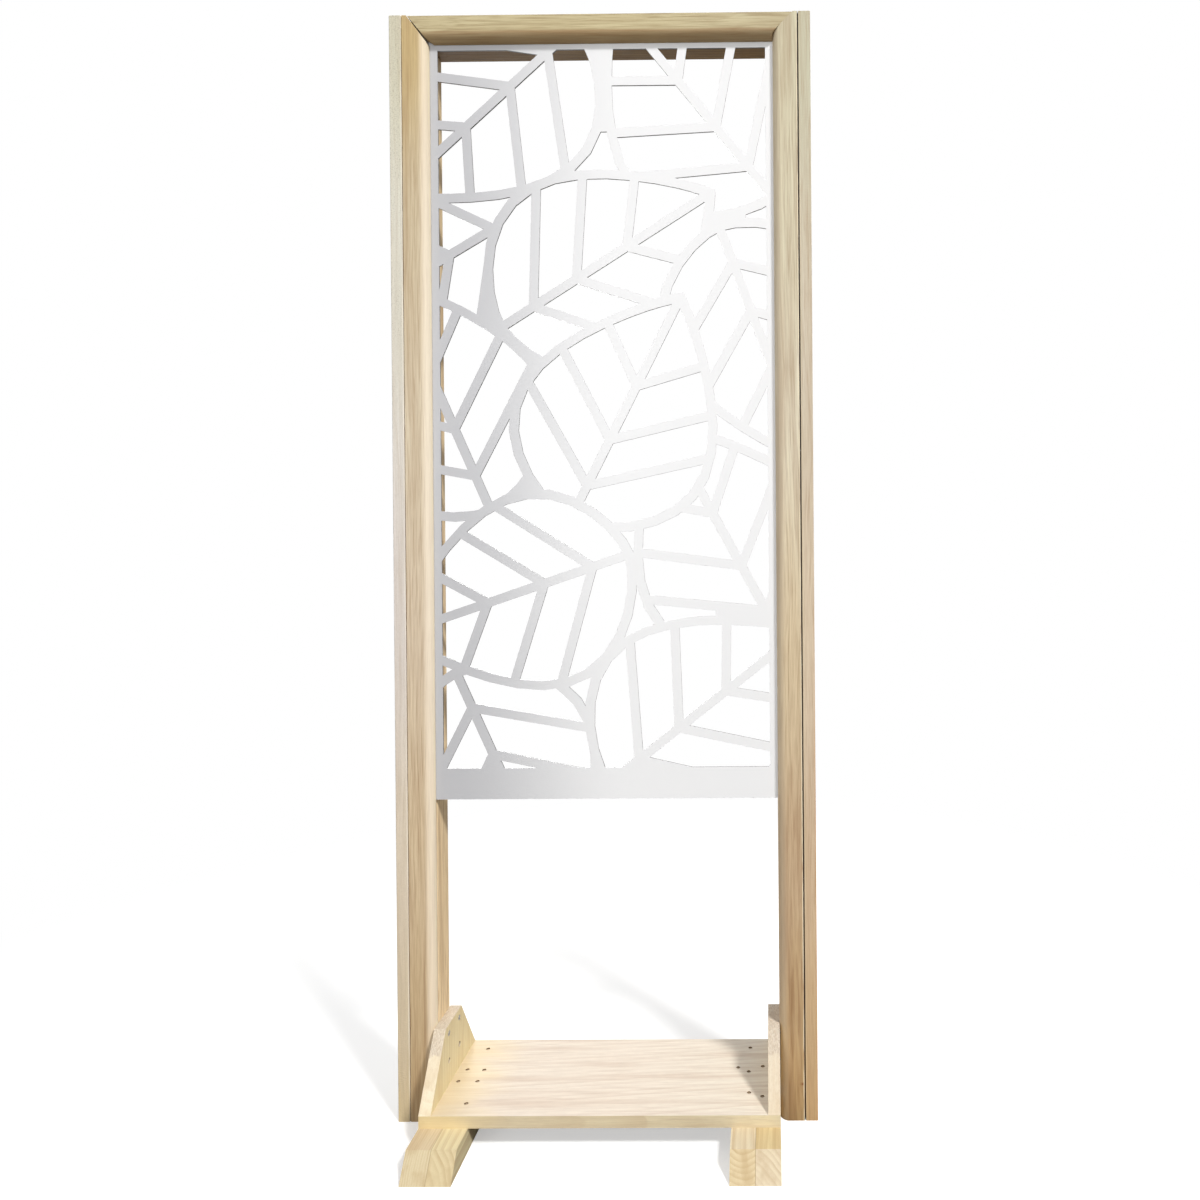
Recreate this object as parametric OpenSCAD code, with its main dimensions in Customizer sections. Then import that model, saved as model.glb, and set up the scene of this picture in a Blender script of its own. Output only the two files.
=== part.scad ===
// Free-standing room divider. A timber frame, open at the bottom, holds a thin white
// panel that is cut through in a pattern of overlapping leaves. One board, two sloping
// cheeks and two pairs of foot timbers make the base that keeps it upright.
// Sizes are in millimetres. X runs to the right, Y to the back and Z up from the floor.

/* [Panel] */
// Width of the sheet
panel_w = 600; // [400:10:900]
// Height of the sheet
panel_h = 1200; // [800:10:1600]
// Thickness of the sheet
panel_t = 3; // [2:0.5:6]
// Plain margin left at each side of the pattern
side_margin = 47.5; // [30:0.5:80]
// Plain margin above the pattern
high_margin = 45; // [30:1:80]
// Plain margin below the pattern
low_margin = 48; // [30:1:80]

/* [Leaf pattern] */
// Width of the line that edges a leaf
edge_w = 15; // [10:0.5:22]
// Width of the midrib
midrib_w = 14; // [8:0.5:22]
// Width of a side vein
vein_w = 14; // [8:0.5:22]
// Steps along each side of a leaf
leaf_steps = 16; // [10:1:30]

/* [Frame] */
// Height of the sheet's lower edge above the floor
sheet_low = 490; // [300:5:700]
// Thickness of the board on each outer side
side_board_t = 18.5; // [12:0.5:30]
// Width of every batten, seen from the front
batten_w = 39; // [25:1:70]
// Depth of the front battens
front_batten_t = 13; // [10:0.5:30]
// Depth of the rear battens
rear_batten_t = 43; // [30:1:70]
// Radius of the rounding on the inner front edge
round_r = 15; // [5:0.5:24]
// How far that rounding stays short of running smoothly into the face
round_shy = 0.2; // [0.1:0.1:1]
// Size of the eased edges on boards and rear battens
edge_ease = 1; // [0.5:0.5:4]
// Width at the face of the open joint between the left front batten and its side board
left_joint_w = 1.2; // [0.4:0.1:3]
// The same width on the right
right_joint_w = 1.8; // [0.4:0.1:3]
// How deep that joint stands open
joint_depth = 7; // [2:0.5:8]
// Distance from a front batten's outer edge to where its mitre starts at the top
mitre_start = 8; // [0:0.5:12]
// Slope of the left batten's mitre cut, in degrees
left_mitre_slope = 53; // [40:0.5:56]
// Slope of the right batten's mitre cut, in degrees
right_mitre_slope = 45; // [40:0.5:56]
// Gap at the upper end of the left mitre
left_mitre_gap = 1; // [0:0.1:2]
// How far the left mitre opens downwards, in degrees
left_mitre_open = 2.5; // [0:0.25:4]
// How far the top batten's lower edge is broken away beside the left mitre
left_mitre_chip = 8; // [0:0.5:12]

/* [Base] */
// Depth of the deck board, front to back
deck_d = 188; // [150:1:240]
// Thickness of the deck board
deck_t = 18; // [12:0.5:30]
// Thickness of the cheeks
cheek_t = 18; // [12:0.5:30]
// Height of the cheeks above the deck
cheek_h = 92; // [80:1:140]
// Length of the flat top of a cheek
cheek_top = 66; // [40:1:120]
// Width of one foot timber
foot_w = 36; // [30:1:60]
// Height of a foot timber
foot_h = 34; // [20:1:60]
// Length of a foot timber along the floor
foot_l = 322; // [240:2:500]
// How much shorter it is at the top, at the front end
foot_slant = 24; // [0:1:60]
// How much shorter it is at the top, at the back end
foot_back_slant = 42; // [0:1:60]

/* [Screws and pins] */
// Diameter of a screw's shank
screw_d = 4; // [3:0.5:6]
// Diameter of a screw's head
screw_head_d = 8; // [6:0.5:12]
// Diameter of a deck screw's head
deck_head_d = 6; // [5:0.5:12]
// How far a deck screw's head lies below the deck's face
deck_screw_sink = 2; // [0:0.25:4]
// Thickness of a screw's head
screw_head_t = 2; // [1:0.25:4]
// Timber left under the tip of a deck screw
deck_screw_cover = 7; // [3:0.5:15]
// Timber left beyond the tip of a cheek screw
cheek_screw_cover = 12; // [4:0.5:20]
// Timber left beyond the tip of a screw in a side board
side_screw_cover = 12.5; // [4:0.5:20]
// How far a screw from below bites into a cheek
base_screw_bite = 27; // [15:1:35]
// How far a corner screw bites into the top batten
corner_screw_bite = 32.5; // [20:0.5:60]
// Number of screws along one side board
side_screw_count = 5; // [3:1:9]
// Number of pins along one side board
pin_count = 6; // [3:1:10]
// Diameter of a pin
pin_d = 2; // [1.5:0.25:3]
// Diameter of a pin's head
pin_head_d = 5; // [3:0.25:7]
// Thickness of a pin's head
pin_head_t = 1; // [0.5:0.25:2]
// How far a pin bites into the front batten
pin_bite = 21.5; // [10:0.5:30]
// Extra depth of the lower screws in the cheeks
low_screw_sink = 1.5; // [0:0.25:4]

/* [Fits] */
// Gap on each face of the panel in its slot
panel_face_gap = 0.5; // [0.3:0.1:1]
// Gap between each side of the panel and the side board
panel_side_gap = 3; // [1:0.5:6]
// Gap between the top of the panel and the top of the frame
panel_top_gap = 2; // [0.5:0.5:20]
// Gap around a screw or pin in its hole
hole_gap = 0.15; // [0.1:0.05:0.5]

/* [Hidden] */
$fn = 48;
inner_w = panel_w + 2 * panel_side_gap;
frame_w = inner_w + 2 * side_board_t;
opening_w = inner_w - 2 * batten_w;
slot_w = panel_t + 2 * panel_face_gap;
frame_d = front_batten_t + slot_w + rear_batten_t;
frame_h = sheet_low + panel_h + panel_top_gap;
y_front = -frame_d / 2;
y_slot = y_front + front_batten_t;
y_rear = y_slot + slot_w;
deck_top = foot_h + deck_t;
cheek_z = deck_top + cheek_h;
window_w = panel_w - 2 * side_margin;
window_h = panel_h - low_margin - high_margin;
// How far cutting shapes reach past what they cut
over = 1;

// Lengths of the screws and pins
deck_screw_l = deck_t + foot_h - deck_screw_cover - deck_screw_sink;
cheek_screw_l = cheek_t + batten_w - cheek_screw_cover;
side_screw_l = side_board_t + batten_w - side_screw_cover;
base_screw_l = deck_t + base_screw_bite;
corner_screw_l = side_board_t + batten_w + corner_screw_bite;
pin_l = side_board_t + pin_bite;

// The pattern is drawn for a window of this size and is enlarged to cover any other one
drawn_w = 505;
drawn_h = 1107;
drawn_low = 48;
pattern_k = max(window_w / drawn_w, window_h / drawn_h);

// Shape of a leaf as drawn. Its length runs from base to tip, and its widths from the
// midrib to the middle of the edge line on either side. One side is slimmer or fuller on
// some leaves. The skew puts the widest place nearer the base, and the fullness keeps the
// leaf wide for longer
leaf_l = 385;
leaf_left = 156;
leaf_right = 156;
slim_right = 142;
full_right = 164;
leaf_skew = 0.72;
leaf_fullness = 0.85;
// How far the inner side of the edge line stops short of the tip
tip_inset = 12;

// Side veins: where each leaves the midrib as a share of the leaf's length, then how far
// it turns from the midrib on the left and on the right, in degrees
veins = [
    [0.155, 56, 51],
    [0.36, 54, 50],
    [0.60, 51, 47]
];

// Leaves, lowest first. Each is the base's distance right of the panel's middle and up from
// its lower edge, the direction it points in, which way round it is, and its right width
leaves = [
    [-117, 911, 210.5, -1, leaf_right],
    [263, 926, 128.9, 1, leaf_right],
    [-38, 1192, 222, 1, leaf_right],
    [-158, 728, 32.2, 1, full_right],
    [180, 881, 290.2, 1, slim_right],
    [-176, 445, 113.4, 1, leaf_right],
    [276, 236, 118.3, 1, leaf_right],
    [-54, 430, 63.1, 1, leaf_right],
    [-232, 196, 294, 1, leaf_right],
    [37, 377, 198.6, 1, slim_right],
    [3, 23, 38, 1, leaf_right]
];
leaf_count = len(leaves);
// Places where two lines run together into one broad one
webs = [
    [[160, 872], [221, 894], [221, 912], [160, 900]],
    [[-14, 1160], [7, 1160], [4, 1105]],
    [[4, 1075], [-9, 1028], [14, 1028]],
    [[-179, 772], [-186, 738], [-163, 728]],
    [[-256, 848], [-248, 848], [-248, 832], [-256, 832]],
    [[-128, 474], [-108, 474], [-112, 492], [-122, 492]],
    [[-184, 40], [-168, 40], [-173, 58], [-179, 58]],
    [[38, 40], [82, 40], [82, 50], [56, 57], [44, 55]],
    [[170, 293], [252, 288], [252, 274], [170, 278]]
];

// Deck screws. They were placed by eye, so no two pairs match. Each is a share of a foot
// timber's width in from the deck's end, and a share of the deck's half depth back from its
// middle
left_deck_spots = [[0.92, 0.16], [0.81, -0.15], [1.67, 0.15], [1.64, -0.15], [1.67, -0.70],
    [1.33, 0.74]];
right_deck_spots = [[0.75, 0.22], [0.75, -0.55], [1.83, 0.19], [1.36, 0.08], [1.31, -0.46],
    [1.33, 0.74]];

// Cheek screws: distance back from the frame's front, and height above the deck
cheek_screw_drop = 14;
cheek_screw_rise = 36;
cheek_screw_back = 7;
cheek_screw_in = 3;
cheek_screw_y = [front_batten_t - cheek_screw_in, frame_d - cheek_screw_back];
cheek_screw_high = [for (y = cheek_screw_y) [y, cheek_h - cheek_screw_drop]];
cheek_screw_low = [for (y = cheek_screw_y) [y, cheek_screw_rise]];

// Screws up into the cheeks: distance from the middle line of the deck
base_screw_in = 34;
base_screw_y = deck_d / 2 - base_screw_in;
cheek_base_spots = [-base_screw_y, 0, base_screw_y];

// Heights of the side board screws and of the pins, spread evenly from low to high
side_screw_rise = 86;
side_screw_drop = 142;
side_screw_low = cheek_z + side_screw_rise;
side_screw_high = frame_h - side_screw_drop;
side_screw_step = (side_screw_high - side_screw_low) / (side_screw_count - 1);
side_screw_heights = [for (i = [0 : side_screw_count - 1]) side_screw_low + i * side_screw_step];
pin_low = 40;
pin_drop = 12;
pin_high = frame_h - pin_drop;
pin_step = (pin_high - pin_low) / (pin_count - 1);
pin_heights = [for (i = [0 : pin_count - 1]) pin_low + i * pin_step];
side_screw_y = y_rear + rear_batten_t / 2;
pin_y = y_front + front_batten_t / 2;

// How far above the inner corner the broken edge beside the left mitre starts
chip_start = 3;

// Corner screws
corner_spread = 9.5;
corner_screw_y = [side_screw_y - corner_spread, side_screw_y + corner_spread];
corner_screw_z = frame_h - batten_w / 2;

// Cross recess in a screw's head
recess_w = screw_d / 4;
recess_t = screw_head_t / 2;

wood_honey = [0.80, 0.70, 0.52];
wood_shade = [0.70, 0.56, 0.38];
wood_pale = [0.93, 0.87, 0.74];
wood_grey = [0.83, 0.79, 0.69];
white = [0.93, 0.93, 0.93];
zinc = [0.75, 0.76, 0.78];

// Shapes that several pieces share

// A rectangle with its four corners cut off by the size of an eased edge
module eased_rect(w, d) {
    polygon([[edge_ease, 0], [w - edge_ease, 0], [w, edge_ease], [w, d - edge_ease],
        [w - edge_ease, d], [edge_ease, d], [0, d - edge_ease], [0, edge_ease]]);
}

// Cross-section of a front batten. Its outer edge lies at zero and its front at zero, and
// the rounded edge faces the opening. The outer edge is planed a little off square by the
// given width, which leaves a narrow dark joint beside the side board
module front_profile(off_w) {
    flat_w = batten_w - round_r;
    intersection() {
        union() {
            polygon([[off_w, 0], [flat_w + over, 0], [flat_w + over, front_batten_t],
                [0, front_batten_t], [0, joint_depth]]);
            translate([flat_w, round_r - round_shy]) circle(r = round_r);
            if (front_batten_t > round_r)
                translate([0, round_r]) square([batten_w, front_batten_t - round_r]);
        }
        square([batten_w, front_batten_t]);
    }
}

// A screw with its head's outer face at the origin, pointing down
module screw(length, head_d) {
    recess_l = head_d / 2;
    difference() {
        union() {
            translate([0, 0, -screw_head_t]) cylinder(d = head_d, h = screw_head_t);
            translate([0, 0, -length]) cylinder(d = screw_d, h = length - screw_head_t);
        }
        for (a = [0, 90])
            rotate([0, 0, a])
                translate([-recess_l / 2, -recess_w / 2, -recess_t])
                    cube([recess_l, recess_w, recess_t + over]);
    }
}

// The hole for that screw, open at the top. The head lies below the surface by the sink
module screw_hole(length, head_d, sink) {
    head_r = head_d / 2 + hole_gap;
    translate([0, 0, -length - over])
        cylinder(r = screw_d / 2 + hole_gap, h = length + 2 * over);
    translate([0, 0, -screw_head_t]) cylinder(r = head_r, h = sink + screw_head_t + over);
}

// A pin with a small flat head, placed as the screw is
module pin() {
    translate([0, 0, -pin_head_t]) cylinder(d = pin_head_d, h = pin_head_t);
    translate([0, 0, -pin_l]) cylinder(d = pin_d, h = pin_l - pin_head_t);
}

module pin_hole() {
    translate([0, 0, -pin_l - over])
        cylinder(r = pin_d / 2 + hole_gap, h = pin_l + 2 * over);
    translate([0, 0, -pin_head_t])
        cylinder(r = pin_head_d / 2 + hole_gap, h = pin_head_t + over);
}

// Placing for everything driven in from the outer face of a side board. A side of 1 is the
// right and a side of -1 is the left
module from_side(side, y, z) {
    translate([side * frame_w / 2, y, z]) rotate([0, side * 90, 0]) children();
}

module side_screw_holes(side) {
    for (z = side_screw_heights)
        from_side(side, side_screw_y, z) screw_hole(side_screw_l, screw_head_d, 0);
    for (y = corner_screw_y)
        from_side(side, y, corner_screw_z) screw_hole(corner_screw_l, screw_head_d, 0);
}

module side_pin_holes(side) {
    for (z = pin_heights)
        from_side(side, pin_y, z) pin_hole();
}

// Placing for the screws driven outwards through a cheek
module from_cheek(side, spot, sink) {
    x = side * (opening_w / 2 - cheek_t + sink);
    translate([x, y_front + spot[0], deck_top + spot[1]]) rotate([0, -side * 90, 0]) children();
}

module cheek_screw_holes(side) {
    for (s = cheek_screw_high)
        from_cheek(side, s, 0) screw_hole(cheek_screw_l, screw_head_d, 0);
    for (s = cheek_screw_low)
        from_cheek(side, s, low_screw_sink)
            screw_hole(cheek_screw_l, screw_head_d, low_screw_sink);
}

// Placing for the screws driven down through the deck
module from_deck(side) {
    for (s = side > 0 ? right_deck_spots : left_deck_spots)
        translate([side * (opening_w / 2 - s[0] * foot_w), s[1] * deck_d / 2,
            deck_top - deck_screw_sink])
                children();
}

module deck_screw_holes(side) {
    from_deck(side) screw_hole(deck_screw_l, deck_head_d, deck_screw_sink);
}

// Placing for the screws driven up through the deck into a cheek
module from_below(side, y) {
    translate([side * (opening_w / 2 - cheek_t / 2), y, foot_h]) rotate([180, 0, 0]) children();
}

module cheek_base_holes(side) {
    for (y = cheek_base_spots)
        from_below(side, y) screw_hole(base_screw_l, screw_head_d, 0);
}

// Frame

module side_board(side) {
    difference() {
        translate([side > 0 ? inner_w / 2 : -frame_w / 2, y_front, 0])
            linear_extrude(frame_h) eased_rect(side_board_t, frame_d);
        side_screw_holes(side);
        side_pin_holes(side);
    }
}

// Placing for the top corners. A shape drawn there goes through the front battens. Its X
// runs in from their outer edge and its Y runs down from the top
module at_corner(side) {
    translate([side * inner_w / 2, y_front - over, frame_h])
        mirror([side > 0 ? 1 : 0, 0, 0])
            rotate([-90, 0, 0])
                linear_extrude(front_batten_t + 2 * over) children();
}

// What a mitre takes off an upright front batten
module stile_cut(slope) {
    reach = 2 * batten_w;
    polygon([[mitre_start, -over], [mitre_start, 0],
        [mitre_start + reach, reach * tan(slope)], [mitre_start + reach, -over]]);
}

// What a mitre takes off an end of the top batten. The cut stops at the given distance from
// the outer edge, and from there it runs to the place where the lower edge ends
module top_batten_cut(slope, gap, stop, low_end) {
    start = mitre_start + gap;
    polygon([[-over, -over], [start, -over], [start, 0], [stop, (stop - start) * tan(slope)],
        [low_end, batten_w], [low_end, batten_w + over], [-over, batten_w + over]]);
}

module front_stile(side, slope, joint_w) {
    difference() {
        translate([side * inner_w / 2, y_front, 0])
            mirror([side > 0 ? 1 : 0, 0, 0])
                linear_extrude(frame_h) front_profile(joint_w);
        at_corner(side) stile_cut(slope);
        side_pin_holes(side);
        cheek_screw_holes(side);
    }
}

module top_front_batten() {
    color(wood_honey)
    difference() {
        translate([-inner_w / 2, y_front, frame_h])
            rotate([0, 90, 0])
                linear_extrude(inner_w) front_profile(edge_ease);
        at_corner(-1)
            top_batten_cut(left_mitre_slope - left_mitre_open, left_mitre_gap,
                batten_w - chip_start, batten_w + left_mitre_chip);
        at_corner(1) top_batten_cut(right_mitre_slope, 0, batten_w, batten_w);
        for (side = [-1, 1])
            side_pin_holes(side);
    }
}

module rear_stile(side) {
    difference() {
        translate([side > 0 ? opening_w / 2 : -inner_w / 2, y_rear, 0])
            linear_extrude(frame_h) eased_rect(batten_w, rear_batten_t);
        side_screw_holes(side);
        cheek_screw_holes(side);
    }
}

module top_rear_batten() {
    color(wood_shade)
    difference() {
        translate([-opening_w / 2, y_rear, frame_h])
            rotate([0, 90, 0])
                linear_extrude(opening_w) eased_rect(batten_w, rear_batten_t);
        for (side = [-1, 1])
            side_screw_holes(side);
    }
}

module left_side_board() {
    color(wood_grey) side_board(-1);
}

module right_side_board() {
    color(wood_honey) side_board(1);
}

module left_front_batten() {
    color(wood_honey) front_stile(-1, left_mitre_slope, left_joint_w);
}

module right_front_batten() {
    color(wood_honey) front_stile(1, right_mitre_slope, right_joint_w);
}

module left_rear_batten() {
    color(wood_shade) rear_stile(-1);
}

module right_rear_batten() {
    color(wood_shade) rear_stile(1);
}

// Panel

// Half width of a leaf at a share t of its length, for a given greatest half width
function half_width(t, widest) =
    widest * pow(sin(180 * pow(t, leaf_skew)), leaf_fullness);

// Share of the length reached at a step. The steps are short at both ends, where the
// outline turns most
function share(i) = (1 - cos(180 * i / leaf_steps)) / 2;

// Outline of a leaf from its base along the X axis, closed in a point at both ends
function leaf_outline(l, left, right) = concat(
    [[0, 0]],
    [for (i = [1 : leaf_steps - 1]) [l * share(i), half_width(share(i), left)]],
    [[l, 0]],
    [for (i = [leaf_steps - 1 : -1 : 1]) [l * share(i), -half_width(share(i), right)]]
);

// A drawn point on the sheet, enlarged about the middle of the window
function placed(p) = [
    p[0] * pattern_k,
    low_margin + window_h / 2 + (p[1] - drawn_low - drawn_h / 2) * pattern_k
];

module place_leaf(leaf) {
    translate(placed(leaf))
        rotate(leaf[2])
            mirror([0, leaf[3] > 0 ? 0 : 1])
                children();
}

module leaf_outer(leaf) {
    half = edge_w / 2;
    l = leaf_l * pattern_k;
    left = leaf_left * pattern_k;
    right = leaf[4] * pattern_k;
    place_leaf(leaf)
        translate([-half, 0])
            polygon(leaf_outline(l + edge_w, left + half, right + half));
}

module leaf_inner(leaf) {
    half = edge_w / 2;
    l = leaf_l * pattern_k;
    left = leaf_left * pattern_k;
    right = leaf[4] * pattern_k;
    place_leaf(leaf)
        translate([half, 0])
            polygon(leaf_outline(l - half - tip_inset, left - half, right - half));
}

module leaf_ribs(leaf) {
    l = leaf_l * pattern_k;
    place_leaf(leaf) {
        translate([0, -midrib_w / 2]) square([l, midrib_w]);
        for (v = veins) {
            translate([v[0] * l, 0])
                rotate(v[1]) translate([0, -vein_w / 2]) square([l, vein_w]);
            translate([v[0] * l, 0])
                rotate(-v[2]) translate([0, -vein_w / 2]) square([l, vein_w]);
        }
    }
}

// One leaf as lines: its edge, its midrib and its side veins
module leaf_lines(leaf) {
    difference() {
        leaf_outer(leaf);
        difference() {
            leaf_inner(leaf);
            leaf_ribs(leaf);
        }
    }
}

// All leaves, each one hidden where a later one lies over it
module leaf_lattice() {
    for (k = [0 : leaf_count - 1])
        difference() {
            leaf_lines(leaves[k]);
            if (k < leaf_count - 1)
                for (j = [k + 1 : leaf_count - 1])
                    leaf_outer(leaves[j]);
        }
    for (w = webs)
        polygon([for (p = w) placed(p)]);
}

module panel_window() {
    translate([-window_w / 2, low_margin]) square([window_w, window_h]);
}

module leaf_panel() {
    color(white)
    translate([0, y_slot + panel_face_gap + panel_t, sheet_low])
        rotate([90, 0, 0])
            linear_extrude(panel_t)
                difference() {
                    translate([-panel_w / 2, 0]) square([panel_w, panel_h]);
                    difference() {
                        panel_window();
                        leaf_lattice();
                    }
                }
}

// Base

module deck_board() {
    color(wood_pale)
    difference() {
        translate([-opening_w / 2, -deck_d / 2, foot_h]) cube([opening_w, deck_d, deck_t]);
        for (side = [-1, 1]) {
            deck_screw_holes(side);
            cheek_base_holes(side);
        }
    }
}

module cheek(side) {
    difference() {
        translate([side > 0 ? opening_w / 2 : -opening_w / 2 + cheek_t, 0, deck_top])
            rotate([90, 0, -90])
                linear_extrude(cheek_t)
                    polygon([[-deck_d / 2, 0], [deck_d / 2, 0], [cheek_top / 2, cheek_h],
                        [-cheek_top / 2, cheek_h]]);
        cheek_screw_holes(side);
        cheek_base_holes(side);
    }
}

module foot(side, place) {
    x = side * (opening_w / 2 - place * foot_w) - (side > 0 ? 0 : -foot_w);
    half_l = foot_l / 2;
    difference() {
        translate([x, 0, 0])
            rotate([90, 0, -90])
                linear_extrude(foot_w)
                    polygon([[-half_l, 0], [half_l, 0], [half_l - foot_slant, foot_h],
                        [foot_back_slant - half_l, foot_h]]);
        deck_screw_holes(side);
    }
}

module left_cheek() {
    color(wood_pale) cheek(-1);
}

module right_cheek() {
    color(wood_pale) cheek(1);
}

module left_outer_foot() {
    color(wood_pale) foot(-1, 0);
}

module left_inner_foot() {
    color(wood_pale) foot(-1, 1);
}

module right_outer_foot() {
    color(wood_pale) foot(1, 0);
}

module right_inner_foot() {
    color(wood_pale) foot(1, 1);
}

// Screws and pins

module deck_screws() {
    color(zinc)
    for (side = [-1, 1])
        from_deck(side) screw(deck_screw_l, deck_head_d);
}

module cheek_screws(side) {
    for (s = cheek_screw_high)
        from_cheek(side, s, 0) screw(cheek_screw_l, screw_head_d);
    for (s = cheek_screw_low)
        from_cheek(side, s, low_screw_sink) screw(cheek_screw_l, screw_head_d);
}

module left_cheek_screws() {
    color(zinc) cheek_screws(-1);
}

module right_cheek_screws() {
    color(zinc) cheek_screws(1);
}

module cheek_base_screws() {
    color(zinc)
    for (side = [-1, 1])
        for (y = cheek_base_spots)
            from_below(side, y) screw(base_screw_l, screw_head_d);
}

module side_board_screws() {
    color(zinc)
    for (side = [-1, 1])
        for (z = side_screw_heights)
            from_side(side, side_screw_y, z) screw(side_screw_l, screw_head_d);
}

module top_corner_screws() {
    color(zinc)
    for (side = [-1, 1])
        for (y = corner_screw_y)
            from_side(side, y, corner_screw_z) screw(corner_screw_l, screw_head_d);
}

module batten_pins() {
    color(zinc)
    for (side = [-1, 1])
        for (z = pin_heights)
            from_side(side, pin_y, z) pin();
}

left_side_board();
right_side_board();
left_front_batten();
right_front_batten();
top_front_batten();
left_rear_batten();
right_rear_batten();
top_rear_batten();
leaf_panel();
deck_board();
left_cheek();
right_cheek();
left_outer_foot();
left_inner_foot();
right_outer_foot();
right_inner_foot();
deck_screws();
left_cheek_screws();
right_cheek_screws();
cheek_base_screws();
side_board_screws();
top_corner_screws();
batten_pins();
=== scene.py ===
# %% [markdown]
# A free-standing room divider
#
# The real object is a tall timber frame that holds a thin white sheet, cut through in a
# pattern of leaves, over a low base of pale boards. The solids come ready made and in place.
# This lesson gives them their woods, their paint and their steel, and sets up a plain studio
# around them. All lengths are in metres.

# %% Load the solids
import math

import bpy
from mathutils import Matrix, Vector


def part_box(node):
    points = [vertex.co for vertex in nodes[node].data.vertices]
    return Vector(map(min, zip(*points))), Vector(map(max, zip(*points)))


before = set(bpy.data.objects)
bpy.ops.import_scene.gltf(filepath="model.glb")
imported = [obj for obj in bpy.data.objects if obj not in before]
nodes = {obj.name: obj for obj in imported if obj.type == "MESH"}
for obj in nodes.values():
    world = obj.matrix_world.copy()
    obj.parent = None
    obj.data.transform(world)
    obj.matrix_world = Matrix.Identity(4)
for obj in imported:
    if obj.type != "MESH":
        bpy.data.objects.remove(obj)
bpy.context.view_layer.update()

# %% [markdown]
# Painted shade, painted highlights, dust and damp keep to certain places: a joint, a corner, a
# screw hole. Such a place could be a plain number, but then it would stay behind when a size
# changes. So each is worked out from the solids. The timbers stand equally far from the middle
# on the left and on the right, so one distance serves for both sides.

# %% Places on the solids
X, Y, Z = 0, 1, 2
MM = 0.001


def reach(node, axis):
    """The lowest and the highest place of a solid along one axis."""
    low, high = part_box(node)
    return low[axis], high[axis]


FRONT, _ = reach("right_side_board", Y)
BOARD_INSIDE, BOARD_OUTSIDE = reach("right_side_board", X)
POST_INSIDE, _ = reach("right_rear_batten", X)
RAIL_BOTTOM, TOP = reach("top_rear_batten", Z)
DECK_BOTTOM, DECK_TOP = reach("deck_board", Z)
DECK_END = reach("deck_board", X)[1]
DECK_EDGE = reach("deck_board", Y)[1]
CHEEK_INSIDE, CHEEK_OUTSIDE = reach("right_cheek", X)
CHEEK_TOP = reach("right_cheek", Z)[1]
LOW_SCREWS = DECK_TOP + 36 * MM
FOOT_SEAM = reach("right_outer_foot", X)[0]
FOOT_END = reach("right_outer_foot", Y)[1]
print("frame %.3f wide and %.3f high, deck top at %.3f, cheeks up to %.3f"
      % (2 * BOARD_OUTSIDE, TOP, DECK_TOP, CHEEK_TOP))

# %% [markdown]
# The camera stands 1.3 m in front of the frame, at chest height and right of the middle. It
# looks ahead, turned to the left and tipped down by a fraction of a degree. The rest of the way
# to the middle of the picture is a small shift of the lens, as on a photographer's shift lens,
# so the posts stay nearly upright. The picture also leans a little, and the camera rolls by as
# much.

# %% Camera
PICTURE = 1200
SENSOR = 36.0
FOCAL_PIXELS = 849.8
EYE = Vector((0.2548, -1.3256, 0.8919))
MIDDLE_X, MIDDLE_Y = 764.9, 539.9
TURN, TIP, ROLL = math.radians(0.35), math.radians(-0.19), math.radians(0.43)

lens = bpy.data.cameras.new("camera")
lens.sensor_width = SENSOR
lens.lens = SENSOR * FOCAL_PIXELS / PICTURE
lens.shift_x = (PICTURE / 2 - MIDDLE_X) / PICTURE
lens.shift_y = (MIDDLE_Y - PICTURE / 2) / PICTURE
camera = bpy.data.objects.new("camera", lens)
camera.location = EYE
camera.rotation_euler = (Matrix.Rotation(TURN, 3, "Z")
                         @ Matrix.Rotation(math.radians(90) + TIP, 3, "X")
                         @ Matrix.Rotation(-ROLL, 3, "Z")).to_euler()
bpy.context.scene.collection.objects.link(camera)
bpy.context.scene.camera = camera
bpy.context.scene.view_settings.view_transform = "Standard"
print("lens %.2f mm, shift %.3f, %.3f" % (lens.lens, lens.shift_x, lens.shift_y))

# %% [markdown]
# A finish is a graph of shader nodes. Written by hand, such a graph is long and hard to read,
# so small helpers come first. Value wraps the output of a node and lets Python's own signs add
# the Math nodes: 1 - mask or rings * 0.4. Graph adds every other node through a single method,
# which takes the node's type, its settings and its inputs. Finish is the graph of one material.

# %% Helpers for shader graphs
class Value:
    """A number that changes over the surface, used in Python sums."""

    def __init__(self, graph, socket):
        self.graph, self.socket = graph, socket

    def math(self, operation, *others, swap=False):
        terms = [self, *others]
        if swap:
            terms.reverse()
        return self.graph.add("ShaderNodeMath", {"operation": operation},
                              dict(enumerate(terms)))

    def __add__(self, other): return self.math("ADD", other)
    def __radd__(self, other): return self.math("ADD", other)
    def __sub__(self, other): return self.math("SUBTRACT", other)
    def __rsub__(self, other): return self.math("SUBTRACT", other, swap=True)
    def __mul__(self, other): return self.math("MULTIPLY", other)
    def __rmul__(self, other): return self.math("MULTIPLY", other)
    def __truediv__(self, other): return self.math("DIVIDE", other)
    def __pow__(self, other): return self.math("POWER", other)
    def __abs__(self): return self.math("ABSOLUTE")


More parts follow.
